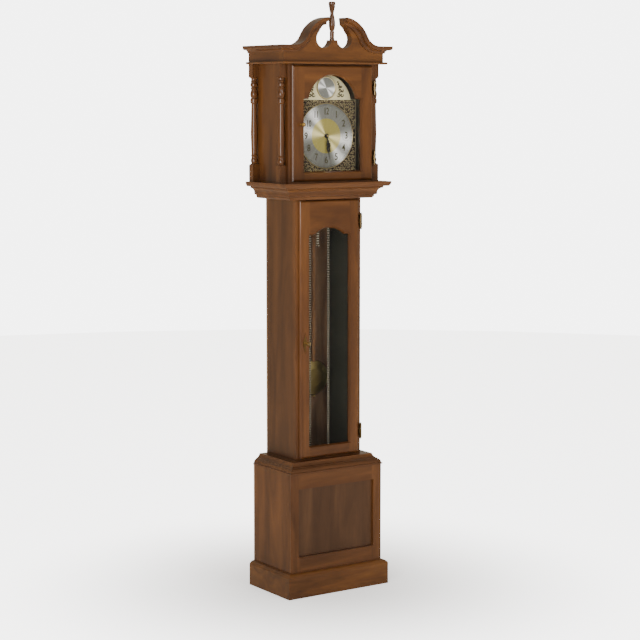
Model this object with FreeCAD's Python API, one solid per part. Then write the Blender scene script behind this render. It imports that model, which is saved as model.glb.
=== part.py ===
import FreeCAD, Part

import math
import os

from FreeCAD import Vector

# Longcase clock, slim pattern, in millimetres.
# +Z is up, the dial faces -Y, and the origin is the middle of the footprint on the floor.

# Driving sizes of the case, from the floor up
plinth_width = 376.0
plinth_depth = 232.0
plinth_height = 77.0
plinth_projection = 17.0
plinth_ease = 10.0
base_height = 387.0
base_floor = 12.0
base_moulding_height = 33.0
trunk_inset = 49.5
trunk_setback = 46.5
trunk_height = 809.0
trunk_foot = 60.0
waist_height = 52.0
waist_inset = 8.0
seat_rise = 19.0
seat_thickness = 16.0
seat_margin = 6.0
hood_side_overhang = 38.0
hood_overhang = 17.5
hood_height = 360.0
column_size = 23.5
column_setback = 8.5
bead_thickness = 7.0
bead_overhang = 10.0
pediment_thickness = 27.0
frieze_projection = 15.0
frieze_height = 26.5
cornice_height = 22.0
cornice_overhang = 21.5

# Board thicknesses
side_board = 16.0
back_board = 6.0
face_board = 16.0
panel_board = 8.0
hood_side_board = 12.0
base_stile = 30.0
base_rail = 48.0

# Doors: a lip laps the case all round, and a tongue goes into the opening
lip = 9.5
door_thickness = 19.0
door_gap = 0.3
tongue_clearance = 1.5
lip_round = 8.0
sight_bevel = 4.0
bevel_depth = 7.0
glass_thickness = 3.0
glass_rebate = 5.0
glass_clearance = 0.3
trunk_door_margin = 10.5
trunk_door_foot = 4.0
trunk_door_head = 3.0
trunk_stile = 37.0
trunk_bottom_rail = 37.5
trunk_top_rail = 107.5
trunk_shoulder_width = 20.0
trunk_arch_rise = 21.5
trunk_shoulder_fillet = 9.0
hood_door_margin = 10.0
hood_door_foot = 4.0
hood_stile = 44.5
hood_bottom_rail = 30.0
hood_top_rail = 102.3
hood_shoulder_width = 17.5
hood_arch_rise = 71.6

# Hinges: three knuckles round a pin with ball ends
hinge_height = 42.0
hinge_inset = 69.0
knuckle_radius = 3.5
hinge_pin_radius = 1.25
hinge_pin_clearance = 0.05
knuckle_gap = 0.3
hinge_ball = 3.2
hinge_tip = 6.0
leaf_thickness = 1.2
hinge_stand_off = 6.0
hinge_forward = 10.0

# Lock, key and knob
key_level = 0.4526
key_inset = 18.0
key_radius = 2.0
key_clearance = 0.08
key_bow = 6.5
key_reach = 22.0
latch_length = 11.5
latch_width = 8.0
latch_thickness = 2.5
latch_gap = 0.5
escutcheon_height = 62.0
escutcheon_width = 12.0
escutcheon_thickness = 1.2
knob_inset = 31.5
knob_drop = 3.0
knob_radius = 6.5
knob_reach = 20.0

# Dial
dial_setback = 40.0
dial_margin = 6.0
dial_skirt = 9.0
dial_shoulder_drop = 1.7
dial_shoulder_width = 19.0
dial_arch_rise = 76.0
dial_sheet = 1.6
dial_foot = 9.9
dial_border = 13.0
dial_lift = 2.5
spandrel_reach = 7.5
chapter_sheet = 1.2
dial_centre_share = 0.532
boss_rise = 36.0
boss_radius = 35.0
spandrel_sheet = 1.5
arbor_hole = 7.0

# Hands
minute_share = 0.716
hour_share = 0.4975
hand_sheet = 1.0
arbor_radius = 1.5
hour_pipe_radius = 4.0
running_clearance = 0.05
hand_gap = 0.6
minute_angle = 174.0
hour_angle = 164.5

# Movement
plate_half = 55.0
plate_height = 160.0
plate_thickness = 3.0
plate_spacing = 46.0
pillar_radius = 4.5
pillar_inset = 9.0
wheel_rise = 36.0
wheel_offset = 20.0
wheel_pitch_radius = 14.5
wheel_flange = 3.0
wheel_groove_gap = 0.1
wheel_links = 6
pivot_drop = 21.0
cock_gap = 0.3

# Pendulum
pendulum_stand_off = 11.0
pendulum_length = 794.0
rod_width = 10.0
rod_thickness = 6.0
bob_radius = 54.0
bob_thickness = 20.0
bob_rim = 5.0
bob_clearance = 0.2
rating_nut_radius = 7.0
rating_nut_height = 6.0
crutch_length = 70.0

# Chains and weights
link_wire = 1.8
link_width = 7.5
link_play = 0.05
weight_drop = 912.0
free_end_drop = 269.0
short_end_drop = 180.0
pull_ring_radius = 7.0
weight_radius = 20.0
weight_height = 150.0
weight_cap = 6.0
weight_hook_gap = 0.3

# Pediment
swan_rise = 85.5
swan_flat = 27.3
swan_tip_centre = 20.0
swan_tip_end = 34.0
swan_upper_share = 0.658
lobe_radius = 27.5
lobe_offset = 37.5
lobe_rise = 20.0
pedestal_rise = 16.5
finial_height = 116.0
finial_radius = 10.8

# Levels worked out from the driving sizes
base_top = base_height
plinth_edge = plinth_height - plinth_ease
base_moulding_top = base_top + base_moulding_height
waist_bottom = base_moulding_top + trunk_height
waist_top = waist_bottom + waist_height
seat_height = waist_top + seat_rise
column_top = waist_top + hood_height
bead_bottom = column_top
frieze_bottom = column_top + bead_thickness
frieze_top = frieze_bottom + frieze_height
cornice_top = frieze_top + cornice_height
swan_tip_height = cornice_top + swan_rise
lobe_height = cornice_top + lobe_rise
pedestal_height = cornice_top + pedestal_rise
total_height = pedestal_height + finial_height

# Planes worked out from the driving sizes
back = plinth_depth / 2
base_width = plinth_width - 2 * plinth_projection
base_half = base_width / 2
base_front = plinth_projection - plinth_depth / 2
trunk_half = base_half - trunk_inset
trunk_width = 2 * trunk_half
trunk_front = base_front + trunk_setback
hood_half = trunk_half + hood_side_overhang
hood_front = trunk_front - hood_overhang
waist_half = hood_half - waist_inset
waist_front = hood_front
frieze_half = hood_half + column_size
frieze_front = hood_front - frieze_projection
board_back = frieze_front + pediment_thickness
inside_back = back - back_board

# Doors, dial and movement worked out from the case
trunk_door_width = trunk_width - 2 * trunk_door_margin
trunk_door_bottom = base_moulding_top + trunk_door_foot
trunk_door_top = waist_bottom - trunk_door_head
trunk_sight_half = trunk_door_width / 2 - trunk_stile
trunk_sight_bottom = trunk_door_bottom + trunk_bottom_rail
trunk_shoulder = trunk_door_top - trunk_top_rail
trunk_arch_half = trunk_sight_half - trunk_shoulder_width
trunk_hinge_heights = (trunk_door_bottom + hinge_inset, trunk_door_top - hinge_inset)
hood_door_width = 2 * (hood_half - hood_door_margin)
hood_door_bottom = waist_top + hood_door_foot
hood_door_top = column_top - hood_door_foot
hood_sight_half = hood_door_width / 2 - hood_stile
hood_sight_bottom = hood_door_bottom + hood_bottom_rail
hood_shoulder = hood_door_top - hood_top_rail
hood_arch_half = hood_sight_half - hood_shoulder_width
hood_hinge_heights = (hood_door_bottom + hinge_inset, hood_door_top - hinge_inset)
key_height = trunk_door_bottom + key_level * (trunk_door_top - trunk_door_bottom)
key_offset = trunk_door_width / 2 - key_inset
knob_height = (hood_door_bottom + hood_door_top) / 2 - knob_drop
knob_offset = hood_door_width / 2 - knob_inset
dial_front = hood_front - lip + dial_setback
dial_half = hood_sight_half + dial_margin
dial_bottom = hood_sight_bottom - dial_skirt
dial_shoulder = hood_shoulder - dial_shoulder_drop
dial_arch_half = dial_half - dial_shoulder_width
chapter_radius = (dial_shoulder - dial_bottom) / 2 - dial_border
dial_centre = (dial_shoulder + dial_bottom) / 2 + dial_lift
dial_centre_radius = chapter_radius * dial_centre_share
minute_length = chapter_radius * minute_share
hour_length = chapter_radius * hour_share
boss_height = dial_shoulder + boss_rise
front_plate_back = dial_front + dial_sheet + dial_foot + plate_thickness
back_plate_front = front_plate_back + plate_spacing
chain_plane = front_plate_back + plate_spacing / 2
pendulum_plane = back_plate_front + pendulum_stand_off
wheel_height = seat_height + seat_thickness + wheel_rise
pivot_height = seat_height + seat_thickness + plate_height - pivot_drop
bob_centre = pivot_height - pendulum_length
crutch_bottom = pivot_height - crutch_length
chain_bottom = wheel_height - weight_drop
free_end_bottom = wheel_height - free_end_drop
short_end_bottom = wheel_height - short_end_drop
swan_run = frieze_half - swan_flat - swan_tip_centre
swan_radii = (swan_run ** 2 + swan_rise ** 2) / (2 * swan_rise)
swan_upper_radius = swan_radii * swan_upper_share
swan_lower_radius = swan_radii - swan_upper_radius
link_bend = math.pi / wheel_links
link_chord = 2 * wheel_pitch_radius * math.sin(link_bend / 2)
link_seat = link_chord * math.cos(link_bend / 2) + link_wire / 2 * math.sin(link_bend) + link_play
link_inner = 2 * link_seat / (1 + math.cos(link_bend))
link_pitch = link_inner - link_play
turning_flats = 2
moulding_flats = 3
far = 2 * total_height

NODES = {}


def at_y(y):
    return lambda u, v: Vector(u, y, v)


def at_x(x):
    return lambda u, v: Vector(x, u, v)


def at_z(z):
    return lambda u, v: Vector(u, v, z)


def box(x0, x1, y0, y1, z0, z1):
    return Part.makeBox(x1 - x0, y1 - y0, z1 - z0, Vector(x0, y0, z0))


def bulged(p, q, bulge):
    """Arc step from p to q whose middle stands off the chord by bulge times its length."""
    du = q[0] - p[0]
    dv = q[1] - p[1]
    return ((p[0] + q[0]) / 2 - dv * bulge, (p[1] + q[1]) / 2 + du * bulge, q[0], q[1])


def in_flats(start, steps, flats):
    """The same outline with every arc cut into a few straight flats."""
    out = []
    here = start
    for step in steps:
        if len(step) == 4:
            points = [Vector(*here, 0), Vector(*step[:2], 0), Vector(*step[2:], 0)]
            arc = Part.Arc(*points).toShape().discretize(flats + 1)
            out += [(p.x, p.y) for p in arc[1:-1]]
        out.append(step[-2:])
        here = step[-2:]
    return out


def wire(start, steps, place):
    """Closed wire: a step of two numbers is a line, one of four is an arc through its first point."""
    edges = []
    here = start
    for step in list(steps) + [start]:
        end = step[-2:]
        if len(step) == 4:
            edges.append(Part.Arc(place(*here), place(*step[:2]), place(*end)).toShape())
        elif math.dist(here, end) > 1e-6:
            edges.append(Part.LineSegment(place(*here), place(*end)).toShape())
        here = end
    return Part.Wire(edges)


def prism(start, steps, place, along):
    return Part.Face(wire(start, steps, place)).extrude(along)


def turned(start, steps, x, y, z):
    """Solid of revolution about a vertical axis from radius and height pairs."""
    place = lambda r, h: Vector(x + r, y, z + h)
    outline = wire(start, in_flats(start, steps, turning_flats), place)
    return Part.Face(outline).revolve(Vector(x, y, z), Vector(0, 0, 1), 360)


def turned_y(start, steps, x, y, z):
    """Solid of revolution about an axis along Y from radius and depth pairs."""
    place = lambda r, d: Vector(x + r, y + d, z)
    outline = wire(start, in_flats(start, steps, turning_flats), place)
    return Part.Face(outline).revolve(Vector(x, y, z), Vector(0, 1, 0), 360)


def rod_y(radius, x, z, y0, y1):
    return Part.makeCylinder(radius, y1 - y0, Vector(x, y0, z), Vector(0, 1, 0))


def rod_z(radius, x, y, z0, z1):
    return Part.makeCylinder(radius, z1 - z0, Vector(x, y, z0), Vector(0, 0, 1))


def mirrored(shape):
    return shape.mirror(Vector(0, 0, 0), Vector(1, 0, 0))


def fused(*shapes):
    whole = shapes[0].fuse(list(shapes[1:]))
    return whole.removeSplitter()


def keep(name, *solids):
    NODES[name] = solids[0] if len(solids) == 1 else Part.makeCompound(list(solids))


def pair(name, solid):
    keep(name, solid, mirrored(solid))


def mitred(profile, half, front, inner_half, inner_front):
    """A moulding in three lengths round the front and sides, mitred at the corners.
    The profile gives distances out from the face, and its first and last points lie on the face."""
    start = profile[0]
    end = profile[-1]

    def length(inner, place, along):
        steps = list(profile[1:]) + [(inner, end[-1])]
        return prism((inner, start[1]), [start] + steps, place, along)

    reach = max(step[-2] for step in profile) + 5.0
    span = 2 * (half + reach)
    front_rail = length(
        front - inner_front, lambda u, v: Vector(-span / 2, front - u, v), Vector(span, 0, 0)
    )
    side_rail = length(
        inner_half - half, lambda u, v: Vector(half + u, front - reach, v),
        Vector(0, back - front + reach, 0)
    )
    inner = (inner_half, inner_front)
    outer = (half + reach, front - reach)
    side_area = prism(
        inner, [(half, front), outer, (half + reach, back), (inner_half, back)], at_z(0),
        Vector(0, 0, total_height)
    )
    front_area = prism(
        inner, [(half, front), outer, (-outer[0], outer[1]), (-half, front), (-inner[0], inner[1])],
        at_z(0), Vector(0, 0, total_height)
    )
    side = side_rail.common(side_area)
    return [front_rail.common(front_area), side, mirrored(side)]


def arched(half, bottom, shoulder, arch_half, rise, grow=0.0, fillet=0.0):
    """Break-arch outline: start point and steps, made larger all round by grow."""
    radius = (arch_half ** 2 + rise ** 2) / (2 * rise)
    centre = shoulder + rise - radius
    level = shoulder + grow
    reach = radius + grow
    foot = math.sqrt(reach ** 2 - (level - centre) ** 2)
    left = -half - grow
    right = half + grow
    low = bottom - grow
    steps = [(right, low), (right, level)]
    if fillet:
        round_out = fillet - grow
        across = math.sqrt((reach + round_out) ** 2 - (level + round_out - centre) ** 2)
        touch = reach / (reach + round_out)
        tx = across * touch
        tz = centre + (level + round_out - centre) * touch
        chord_mid = math.atan2(tz - level - round_out, tx - across)
        middle = (chord_mid - math.pi / 2) / 2
        mx = across + round_out * math.cos(middle)
        mz = level + round_out + round_out * math.sin(middle)
        steps += [(across, level), (mx, mz, tx, tz), (0.0, centre + reach, -tx, tz)]
        steps += [(-mx, mz, -across, level)]
    else:
        steps += [(foot, level), (0.0, centre + reach, -foot, level)]
    steps += [(left, level)]
    return (left, low), steps


def lipped_door(width, bottom, top, case_front, outline):
    """Door leaf with lip, tongue, bevelled sight edge and glass rebate. Returns frame and glass."""
    half = width / 2
    front = case_front - lip
    lip_back = case_front - door_gap
    leaf = box(-half, half, front, lip_back, bottom, top)
    rim = [e for e in leaf.Edges if e.BoundBox.YLength < 0.01 and e.BoundBox.YMax < front + 0.01]
    leaf = leaf.makeFillet(lip_round, rim)
    inset = lip + tongue_clearance
    tongue_back = front + door_thickness
    tongue = box(-half + inset, half - inset, lip_back, tongue_back, bottom + inset, top - inset)
    leaf = leaf.fuse(tongue)
    glass_front = front + bevel_depth
    sight = wire(*outline(0.0), at_y(glass_front))
    mouth = wire(*outline(sight_bevel), at_y(front))
    bevel = Part.makeLoft([mouth, sight], True, True)
    seat = prism(*outline(glass_rebate), at_y(glass_front), Vector(0, door_thickness, 0))
    frame = leaf.cut(bevel).cut(seat)
    glass = prism(
        *outline(glass_rebate - glass_clearance), at_y(glass_front), Vector(0, glass_thickness, 0)
    )
    return frame, glass


def split_frame(prefix, frame, sight_half, middle):
    """Cuts a glued-up frame into two stiles that run full height and two rails between them."""
    left = frame.common(box(-far, -sight_half, -far, far, 0, total_height))
    right = frame.common(box(sight_half, far, -far, far, 0, total_height))
    keep(prefix + "_stiles", left, right)
    between = box(-sight_half, sight_half, -far, far, middle, total_height)
    keep(prefix + "_top_rail", frame.common(between))
    below = box(-sight_half, sight_half, -far, far, 0, middle)
    keep(prefix + "_bottom_rail", frame.common(below))


def hinges(prefix, door_half, case_front, heights):
    """Fixed leaf with its pin and outer knuckles, and a door leaf with the middle knuckle."""
    x = door_half + hinge_stand_off
    y = case_front - hinge_forward
    third = hinge_height / 3
    bore = hinge_pin_radius + hinge_pin_clearance
    tip_steps = [(hinge_ball, -hinge_tip / 2), (hinge_ball * 0.5, 0), (0, 0)]
    fixed = []
    moving = []
    for height in heights:
        z = height - hinge_height / 2
        pin = rod_z(hinge_pin_radius, x, y, z, z + hinge_height)
        low = rod_z(knuckle_radius, x, y, z, z + third - knuckle_gap)
        high = rod_z(knuckle_radius, x, y, z + 2 * third + knuckle_gap, z + hinge_height)
        balls = [
            turned((0, -hinge_tip), tip_steps, x, y, z),
            turned((0, -hinge_tip), tip_steps, x, y, z).mirror(Vector(x, y, height), Vector(0, 0, 1)),
        ]
        plate_z = (z, z + third - knuckle_gap, z + 2 * third + knuckle_gap, z + hinge_height)
        leaf_low = box(x, x + knuckle_radius, y, case_front, plate_z[0], plate_z[1])
        leaf_high = box(x, x + knuckle_radius, y, case_front, plate_z[2], plate_z[3])
        fixed.append(fused(pin, low, high, leaf_low, leaf_high, *balls))
        knuckle = rod_z(knuckle_radius, x, y, z + third, z + 2 * third)
        low_z = z + third
        high_z = z + 2 * third
        edge = box(door_half, door_half + leaf_thickness, y, case_front - door_gap, low_z, high_z)
        arm = box(door_half, x, y - leaf_thickness / 2, y + leaf_thickness / 2, low_z, high_z)
        moving.append(fused(knuckle, edge, arm).cut(rod_z(bore, x, y, z, z + hinge_height)))
    keep(prefix + "_hinge_fixed_leaves", *fixed)
    keep(prefix + "_hinge_door_leaves", *moving)


def case_base():
    out = (plinth_width - base_width) / 2
    profile = [(0, 0), (out, 0), (out, plinth_edge), bulged((out, plinth_edge), (3, plinth_height), -0.12),
               (0, plinth_height)]
    keep("plinth_boards", *mitred(profile, base_half, base_front, base_half, base_front))
    inner = base_half - side_board
    pair("base_sides", box(inner, base_half, base_front + face_board, inside_back, base_floor, base_top))
    stile = box(base_half - base_stile, base_half, base_front, base_front + face_board, base_floor, base_top)
    opening = base_half - base_stile
    rail_back = base_front + face_board
    low_rail = box(-opening, opening, base_front, rail_back, base_floor, plinth_height + base_rail)
    high_rail = box(-opening, opening, base_front, rail_back, base_top - base_rail, base_top)
    keep("base_front_frame", stile, mirrored(stile), low_rail, high_rail)
    panel_front = rail_back - panel_board
    keep("base_front_panel", box(
        -opening, opening, panel_front, rail_back, plinth_height + base_rail, base_top - base_rail
    ))
    keep("base_back", box(-base_half, base_half, inside_back, back, base_floor, base_top))
    keep("base_bottom", box(
        -inner, inner, base_front + face_board, inside_back, base_floor, base_floor + side_board
    ))
    rise = base_moulding_top - base_top
    ledge = trunk_inset + 2.0
    profile = [
        (0, base_top), (ledge, base_top), (ledge, base_top + 4), (ledge - 3, base_top + 5),
        bulged((ledge - 3, base_top + 5), (ledge - 11.5, base_top + 17), -0.18),
        (ledge - 11.5, base_top + 19), (ledge - 14, base_top + 19.5),
        bulged((ledge - 14, base_top + 19.5), (ledge - 24, base_top + rise), 0.12),
        (0, base_top + rise),
    ]
    keep("base_moulding", *mitred(profile, trunk_half, trunk_front, trunk_half, trunk_front))


def case_trunk():
    inner = trunk_half - side_board
    face_back = trunk_front + face_board
    foot = base_top - trunk_foot
    pair("trunk_sides", box(inner, trunk_half, face_back, inside_back, foot, seat_height))
    opening = trunk_door_width / 2 - lip
    low = trunk_door_bottom + lip
    high = trunk_door_top - lip
    stile = box(opening, trunk_half, trunk_front, face_back, foot, seat_height)
    low_rail = box(-opening, opening, trunk_front, face_back, foot, low)
    high_rail = box(-opening, opening, trunk_front, face_back, high, seat_height)
    keep("trunk_front_frame", stile, mirrored(stile), low_rail, high_rail)
    keep("trunk_back", box(-trunk_half, trunk_half, inside_back, back, base_top, waist_top))
    z = waist_bottom
    profile = [
        (0, z), bulged((0, z), (6, z + 10), -0.15), (12, z + 11.5), (13, z + 16),
        bulged((13, z + 16), (25, z + 31.5), 0.2), (26.5, z + 32), (26.5, z + 36.5), (39, z + 37.5),
        bulged((39, z + 37.5), (44.5, waist_top - 2), -0.1), (44.5, waist_top), (0, waist_top),
    ]
    keep("waist_moulding", *mitred(profile, waist_half, waist_front, trunk_half, trunk_front))
    slot = box(-46, 46, chain_plane - 14, pendulum_plane + 18, seat_height, seat_height + seat_thickness)
    seat_front = front_plate_back - plate_thickness - seat_margin
    board = box(
        -trunk_half, trunk_half, seat_front, inside_back, seat_height, seat_height + seat_thickness
    )
    keep("seat_board", board.cut(slot))


def column_turning():
    """One turned column: square blocks at both ends with rings, a bulb and a swelling shaft between."""
    height = column_top - waist_top
    shoulder = column_size * 0.75
    ring = column_size / 2 - 0.15
    neck = ring * 0.76
    block = 56.0
    top = height - 44.0
    low = [(shoulder, 0), (shoulder, block - 6), (neck, block)]
    rings = [
        (ring * 0.93, block + 6), (ring * 0.93, block + 12), (neck, block + 18), (neck, block + 20),
        bulged((neck, block + 20), (neck, block + 28), -0.2),
    ]
    shaft_foot = block + 31
    shaft_head = top - 77
    swell = (ring * 0.91, shaft_foot + 0.4 * (shaft_head - shaft_foot))
    shaft = [(neck, shaft_foot), swell, (ring * 0.72, shaft_head)]
    crown = [
        (ring, top - 73), (ring, top - 63), (neck, top - 59),
        (ring, top - 51), (ring, top - 45), (neck, top - 34),
        bulged((neck, top - 34), (neck, top - 26), -0.18),
        (ring * 0.96, top - 22), (ring * 0.96, top - 16), (neck, top - 12),
        bulged((neck, top - 12), (neck, top - 5), -0.18),
    ]
    high = [(neck, top), (shoulder, top + 6), (shoulder, height), (0, height)]
    body = turned((0, 0), low + rings + shaft + crown + high, 0, 0, waist_top)
    half = column_size / 2
    return body.common(box(-half, half, -half, half, waist_top, column_top))


def case_hood():
    inner = hood_half - hood_side_board
    face_back = hood_front + face_board
    pair("hood_sides", box(inner, hood_half, face_back, inside_back, waist_top, bead_bottom))
    opening = hood_door_width / 2 - lip
    low = hood_door_bottom + lip
    high = hood_door_top - lip
    stile = box(opening, hood_half, hood_front, face_back, waist_top, bead_bottom)
    low_rail = box(-opening, opening, hood_front, face_back, waist_top, low)
    high_rail = box(-opening, opening, hood_front, face_back, high, bead_bottom)
    keep("hood_front_frame", stile, mirrored(stile), low_rail, high_rail)
    keep("hood_back", box(-hood_half, hood_half, inside_back, back, waist_top, bead_bottom))
    column = column_turning()
    x = hood_half + column_size / 2
    front_y = hood_front + column_setback + column_size / 2
    back_y = back - column_size / 2
    spots = [(-x, front_y), (x, front_y), (-x, back_y), (x, back_y)]
    keep("hood_columns", *[column.translated(Vector(u, v, 0)) for u, v in spots])
    top = frieze_bottom
    profile = [
        (0, bead_bottom), (bead_overhang - 3, bead_bottom),
        bulged((bead_overhang - 3, bead_bottom), (bead_overhang - 3, top), -0.45), (0, top),
    ]
    keep("frieze_bead", *mitred(profile, frieze_half, frieze_front, inner, board_back))
    keep("hood_top", box(
        -inner, inner, board_back, back, bead_bottom, bead_bottom + hood_side_board
    ))


def cornice_profile():
    low = frieze_top - cornice_top
    out = cornice_overhang
    steps = [
        (4, low), (4, low + 2.5), bulged((4, low + 2.5), (13, low + 9.5), 0.2),
        (15.5, low + 9.5), bulged((15.5, low + 9.5), (out, low + 16), -0.2), (out, 0), (0, 0),
    ]
    return [(0, low)] + in_flats((0, low), steps, moulding_flats)


def swan_points():
    """Centres of the two arcs of the swan neck and the point where they meet."""
    upper = (swan_tip_centre, swan_tip_height - swan_upper_radius)
    low_z = cornice_top + swan_lower_radius
    reach = swan_lower_radius + swan_upper_radius
    low_x = upper[0] + math.sqrt(reach ** 2 - (low_z - upper[1]) ** 2)
    share = swan_upper_radius / reach
    join = (upper[0] + (low_x - upper[0]) * share, upper[1] + (low_z - upper[1]) * share)
    return upper, (low_x, low_z), join


def on_arc(centre, radius, degrees):
    angle = math.radians(degrees)
    return (centre[0] + radius * math.cos(angle), centre[1] + radius * math.sin(angle))


def swan_edge(upper, lower, join):
    """Steps of the top edge on the right, from the flat end inwards to the tip."""
    turn = math.degrees(math.atan2(join[1] - lower[1], join[0] - lower[0]))
    foot = (lower[0], cornice_top)
    mid_low = on_arc(lower, swan_lower_radius, (turn % 360 + 270) / 2)
    tip_rise = math.sqrt(swan_upper_radius ** 2 - (swan_tip_end - upper[0]) ** 2)
    tip = (swan_tip_end, upper[1] + tip_rise)
    a0 = math.degrees(math.atan2(join[1] - upper[1], join[0] - upper[0]))
    a1 = math.degrees(math.atan2(tip[1] - upper[1], tip[0] - upper[0]))
    mid_up = on_arc(upper, swan_upper_radius, (a0 + a1) / 2)
    return foot, mid_low, join, mid_up, tip


def pediment():
    upper, lower, join = swan_points()
    foot, mid_low, join, mid_up, tip = swan_edge(upper, lower, join)
    throat = (swan_tip_end + 3, tip[1] - (cornice_top - frieze_top))
    lobe_in = on_arc((lobe_offset, lobe_height), lobe_radius, 50)
    half_start = (0, frieze_bottom)
    half_steps = [
        (frieze_half, frieze_bottom), (frieze_half, cornice_top), foot, mid_low + join, mid_up + tip, throat,
        bulged(throat, lobe_in, 0.08), (lobe_offset, lobe_height), (0, lobe_height),
    ]
    depth = Vector(0, pediment_thickness, 0)
    half = prism(half_start, half_steps, at_y(frieze_front), depth)
    lobe = rod_y(lobe_radius, lobe_offset, lobe_height, frieze_front, board_back)
    above = box(0, lobe_offset, frieze_front, board_back, pedestal_height, total_height)
    half = half.cut(lobe).cut(above.common(box(0, lobe_offset, -far, far, 0, lobe_height + 0.1)))
    board = fused(half, mirrored(half))
    keep("pediment_board", board)
    side = box(hood_half - hood_side_board, frieze_half, board_back, back, frieze_bottom, frieze_top)
    pair("side_friezes", side)

    profile = cornice_profile()
    mitre_out = cornice_overhang + 5
    side_face = [(out + frieze_half, up + cornice_top) for out, up in profile]
    inner_top = (hood_half - hood_side_board, cornice_top)
    inner_low = (hood_half - hood_side_board, frieze_top)
    run = prism(
        inner_low, side_face + [inner_top], at_y(frieze_front - mitre_out),
        Vector(0, back - frieze_front + mitre_out, 0)
    )
    corner = (frieze_half, frieze_front)
    outside = (frieze_half + mitre_out, frieze_front - mitre_out)
    side_area = prism(
        corner, [outside, (outside[0], back), (0, back), (0, board_back), (frieze_half, board_back)],
        at_z(0), Vector(0, 0, total_height)
    )
    pair("side_cornices", run.common(side_area))

    start = (frieze_half + mitre_out, cornice_top)
    path = Part.Wire([
        Part.LineSegment(at_y(frieze_front)(*start), at_y(frieze_front)(*foot)).toShape(),
        Part.Arc(*[at_y(frieze_front)(*p) for p in (foot, mid_low, join)]).toShape(),
        Part.Arc(*[at_y(frieze_front)(*p) for p in (join, mid_up, tip)]).toShape(),
    ])
    section = wire(profile[0], profile[1:], lambda u, v: Vector(start[0], frieze_front - u, start[1] + v))
    neck = path.makePipeShell([section], True, False)
    front_area = prism(
        corner, [outside, (0, outside[1]), (0, corner[1])], at_z(0), Vector(0, 0, total_height)
    )
    pair("swan_neck_mouldings", neck.common(front_area))

    z = finial_height
    r = finial_radius
    steps = [
        (0.72 * r, 0), (0.72 * r, 0.03 * z), (0.62 * r, 0.06 * z), (0.66 * r, 0.20 * z), (0.56 * r, 0.25 * z),
        (0.76 * r, 0.28 * z), (0.92 * r, 0.37 * z), (0.92 * r, 0.48 * z), (0.76 * r, 0.58 * z),
        (0.53 * r, 0.67 * z), (0.56 * r, 0.72 * z), (0.76 * r, 0.81 * z), (0.92 * r, 0.88 * z),
        (0.86 * r, 0.905 * z), (r, 0.925 * z), (r, 0.97 * z), (0.8 * r, z), (0, z),
    ]
    keep("finial", turned((0, 0), steps, 0, (frieze_front + board_back) / 2, pedestal_height))


def trunk_door():
    outline = lambda grow: arched(
        trunk_sight_half, trunk_sight_bottom, trunk_shoulder, trunk_arch_half, trunk_arch_rise, grow,
        trunk_shoulder_fillet
    )
    frame, glass = lipped_door(trunk_door_width, trunk_door_bottom, trunk_door_top, trunk_front, outline)
    front = trunk_front - lip
    keyway = rod_y(key_radius + key_clearance, -key_offset, key_height, front, front + door_thickness)
    frame = frame.cut(keyway)
    split_frame("trunk_door", frame, trunk_sight_half, (trunk_sight_bottom + trunk_shoulder) / 2)
    keep("trunk_door_glass", glass)
    hinges("trunk", trunk_door_width / 2, trunk_front, trunk_hinge_heights)

    half = escutcheon_height / 2
    wide = escutcheon_width / 2
    low = (-key_offset, key_height - half)
    high = (-key_offset, key_height + half)
    steps = [
        bulged(low, (-key_offset + wide, key_height - 8), 0.05),
        bulged((-key_offset + wide, key_height - 8), (-key_offset + wide, key_height + 8), -0.1),
        bulged((-key_offset + wide, key_height + 8), high, 0.05),
        bulged(high, (-key_offset - wide, key_height + 8), 0.05),
        bulged((-key_offset - wide, key_height + 8), (-key_offset - wide, key_height - 8), -0.1),
        bulged((-key_offset - wide, key_height - 8), low, 0.05),
    ]
    plate = prism(low, steps, at_y(front - escutcheon_thickness), Vector(0, escutcheon_thickness, 0))
    keep("trunk_escutcheon", plate.cut(keyway.translated(Vector(0, -escutcheon_thickness * 2, 0))))

    latch_back = trunk_front + face_board + latch_gap + latch_thickness
    shaft = rod_y(key_radius, -key_offset, key_height, front - key_reach + key_bow, latch_back)
    bow_start = Vector(-key_offset - key_radius * 0.6, front - key_reach, key_height)
    across = Vector(1, 0, 0)
    bow = Part.makeCylinder(key_bow + key_radius * 0.7, key_radius * 1.2, bow_start, across).cut(
        Part.makeCylinder(key_bow - key_radius * 0.7, key_radius * 1.2, bow_start, across)
    )
    latch = box(
        -key_offset - latch_width / 2, -key_offset + latch_width / 2, latch_back - latch_thickness,
        latch_back, key_height - latch_length, key_height + latch_width / 2
    )
    keep("trunk_key", fused(shaft, bow, latch))


def hood_door():
    outline = lambda grow: arched(
        hood_sight_half, hood_sight_bottom, hood_shoulder, hood_arch_half, hood_arch_rise, grow
    )
    frame, glass = lipped_door(hood_door_width, hood_door_bottom, hood_door_top, hood_front, outline)
    split_frame("hood_door", frame, hood_sight_half, (hood_sight_bottom + hood_shoulder) / 2)
    keep("hood_door_glass", glass)
    hinges("hood", hood_door_width / 2, hood_front, hood_hinge_heights)
    front = hood_front - lip
    reach = knob_reach
    r = knob_radius
    steps = [
        (r * 0.75, 0), (r * 0.75, -2), bulged((r * 0.75, -2), (r * 0.5, -reach * 0.45), -0.1),
        bulged((r * 0.5, -reach * 0.45), (r, -reach * 0.7), 0.1), bulged((r, -reach * 0.7), (1, -reach), 0.2),
        (0, -reach),
    ]
    keep("hood_door_knob", turned_y((0, 0), steps, -knob_offset, front, knob_height))


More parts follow.
